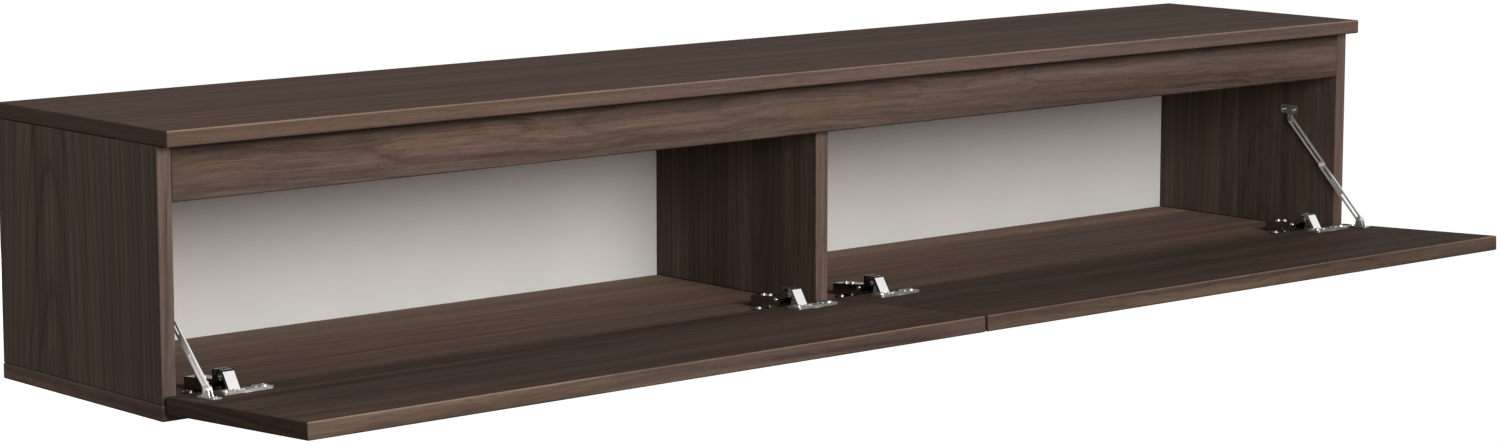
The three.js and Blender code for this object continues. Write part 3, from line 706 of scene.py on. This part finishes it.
def hingePlaces(hinge, found):
    face = cupFace(hinge + "_cup")
    armLow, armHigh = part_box(hinge + "_arm")
    wingLow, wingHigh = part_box(hinge + "_mounting_plate")
    wingScrew, cheekRivet, spring = hardware["wingScrew"], hardware["cheekRivet"], hardware["spring"]
    onFlange = {"flange_screws": hardware["flangeScrew"], "flange_rivets": hardware["flangeRivet"]}
    for way in (-1, 1):
        aside = Vector((way, 0, 0))
        for key, at in onFlange.items():
            found[key].append((face + flapOut * at["pastCup"] + aside * at["apart"] / 2, flapUp))
        wing = Vector((
            (wingLow.x + wingHigh.x) / 2 + way * wingScrew["apart"] / 2,
            wingLow.y + wingScrew["fromFront"], wingLow.z + wingScrew["plate"]))
        found["plate_screws"].append((wing, up))
        cheek = Vector((
            armHigh.x if way > 0 else armLow.x,
            armHigh.y - cheekRivet["fromRear"], armLow.z + cheekRivet["up"]))
        found["arm_rivets"].append((cheek, aside))
        start = face - flapUp * spring["down"] - flapOut * spring["back"]
        found["cup_springs"].append((start + aside * spring["fromMiddle"], aside))
    for fromRear in hardware["adjusters"]:
        found["arm_screws"].append(roofPoint(hinge + "_arm", fromRear))


def stayPlaces(side, sign, found):
    low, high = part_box(f"{side}_stay_side_bracket")
    bracket, foot = hardware["bracketScrew"], hardware["footScrew"]
    points = cornersOf(f"{side}_stay_foot")
    base = min(point.dot(flapUp) for point in points) + foot["plate"]
    outs = [point.dot(flapOut) for point in points]
    for way in (-1, 1):
        onBracket = Vector((
            sign * (sideInnerFace - bracket["plate"]),
            (low.y + high.y) / 2 + way * bracket["apart"] / 2, high.z - bracket["fromTop"]))
        found["bracket_screws"].append((onBracket, Vector((-sign, 0, 0))))
        out = (max(outs) + min(outs)) / 2 + way * foot["apart"] / 2
        onFoot = flapOut * out + flapUp * base
        onFoot.x = sign * (sideInnerFace - foot["fromSide"])
        found["foot_screws"].append((onFoot, flapUp))


# name of the piece: tree, size, plating, what it rides on and its slot
fastenerKinds = {
    "flange_screws": (screws, "screw", "screwPlate", "flap_body", "nickel"),
    "foot_screws": (screws, "smallScrew", "screwPlate", "flap_body", "nickel"),
    "flange_rivets": (rivets, "flangeRivet", "screwPlate", "flap_body", "nickel"),
    "cup_springs": (springs, "spring", "springSteel", "flap_body", "dark_steel"),
    "plate_screws": (screws, "screw", "screwPlate", "carcass", "nickel"),
    "arm_screws": (screws, "adjuster", "screwPlate", "carcass", "nickel"),
    "arm_rivets": (rivets, "cheekRivet", "screwPlate", "carcass", "nickel"),
    "bracket_screws": (screws, "smallScrew", "screwPlate", "carcass", "nickel"),
}


def addFasteners(side, sign):
    found = {name: [] for name in fastenerKinds}
    for place in ("inner", "outer"):
        hingePlaces(f"{side}_{place}_hinge", found)
    stayPlaces(side, sign, found)
    for name, (kind, size, finish, rider, slot) in fastenerKinds.items():
        values = dict(fastenerSizes[size], Material=plating[finish])
        body = rider if rider == "carcass" else f"{side}_{rider}"
        growPiece(f"{side}_{name}", found[name], kind, values, body)


addFasteners("left", -1)
addFasteners("right", 1)
print("fasteners grown")


# Stage: a pale floor far below the hung console, and soft studio light

stageLook = {
    "floorLevel": -0.72,
    "floorHalf": 40.0,
    "floorColour": (0.22, 0.22, 0.22),
    "shownFloor": 1.0,  # how white the floor looks where it is seen
    "fillColour": (1.0, 0.965, 0.93),
    "fill": 0.09,
    "aim": (0, -0.15, -0.1),
}
lampLooks = {
    "key": {"from": (-0.45, -3.4, 0.95), "wide": 3.0, "high": 1.7, "power": 140.0},
    "side": {"from": (-4.2, -0.4, 0.8), "wide": 2.0, "high": 2.0, "power": 9.0},
    "rear": {"from": (-1.6, 0.8, 1.05), "wide": 0.9, "high": 0.9, "power": 4.0},
    "behind": {"from": (0.9, 3.6, -0.45), "wide": 0.9, "high": 0.9, "power": 55.0},
}


def seenRays(tree):
    # the ways in which the white background is seen: straight, in metal and through glass
    paths = addNode(tree, "ShaderNodeLightPath").outputs
    either = maths(tree, "MAXIMUM", paths["Is Camera Ray"], paths["Is Glossy Ray"])
    return maths(tree, "MAXIMUM", either, paths["Is Transmission Ray"])


def addFloor():
    half, level = stageLook["floorHalf"], stageLook["floorLevel"]
    corners = [(-half, -half, level), (half, -half, level), (half, half, level), (-half, half, level)]
    mesh = bpy.data.meshes.new("studioFloor")
    mesh.from_pydata(corners, [], [(0, 1, 2, 3)])
    floor = bpy.data.objects.new("studioFloor", mesh)
    bpy.context.scene.collection.objects.link(floor)
    material = bpy.data.materials.new("studioFloor")
    material.use_nodes = True
    tree = material.node_tree
    tree.nodes.clear()
    plain = addNode(tree, "ShaderNodeBsdfDiffuse", {"Color": (*stageLook["floorColour"], 1)})
    glow = addNode(tree, "ShaderNodeEmission", {
        "Strength": maths(tree, "MULTIPLY", seenRays(tree), stageLook["shownFloor"])})
    both = addNode(tree, "ShaderNodeAddShader", {0: plain.outputs[0], 1: glow.outputs[0]})
    addNode(tree, "ShaderNodeOutputMaterial", {"Surface": both.outputs[0]})
    mesh.materials.append(material)


def addLamp(name, look):
    data = bpy.data.lights.new(name + "Light", "AREA")
    data.shape = "ELLIPSE"
    data.size, data.size_y = look["wide"], look["high"]
    data.energy = look["power"]
    lamp = bpy.data.objects.new(name + "Light", data)
    lamp.location = look["from"]
    towards = Vector(stageLook["aim"]) - lamp.location
    lamp.rotation_mode = "QUATERNION"
    lamp.rotation_quaternion = towards.to_track_quat("-Z", "Y")
    lamp.visible_camera = False
    bpy.context.scene.collection.objects.link(lamp)


def addWorld():
    world = bpy.data.worlds.new("studioWorld")
    world.use_nodes = True
    tree = world.node_tree
    tree.nodes.clear()
    fill = addNode(tree, "ShaderNodeBackground", {
        "Color": (*stageLook["fillColour"], 1), "Strength": stageLook["fill"]})
    white = addNode(tree, "ShaderNodeBackground", {"Color": (1, 1, 1, 1), "Strength": 1.0})
    mix = addNode(tree, "ShaderNodeMixShader", {0: seenRays(tree), 1: fill.outputs[0], 2: white.outputs[0]})
    addNode(tree, "ShaderNodeOutputWorld", {"Surface": mix.outputs[0]})
    bpy.context.scene.world = world


addFloor()
for name, look in lampLooks.items():
    addLamp(name, look)
addWorld()
bpy.context.scene.view_settings.view_transform = "Standard"
print("stage and light set")
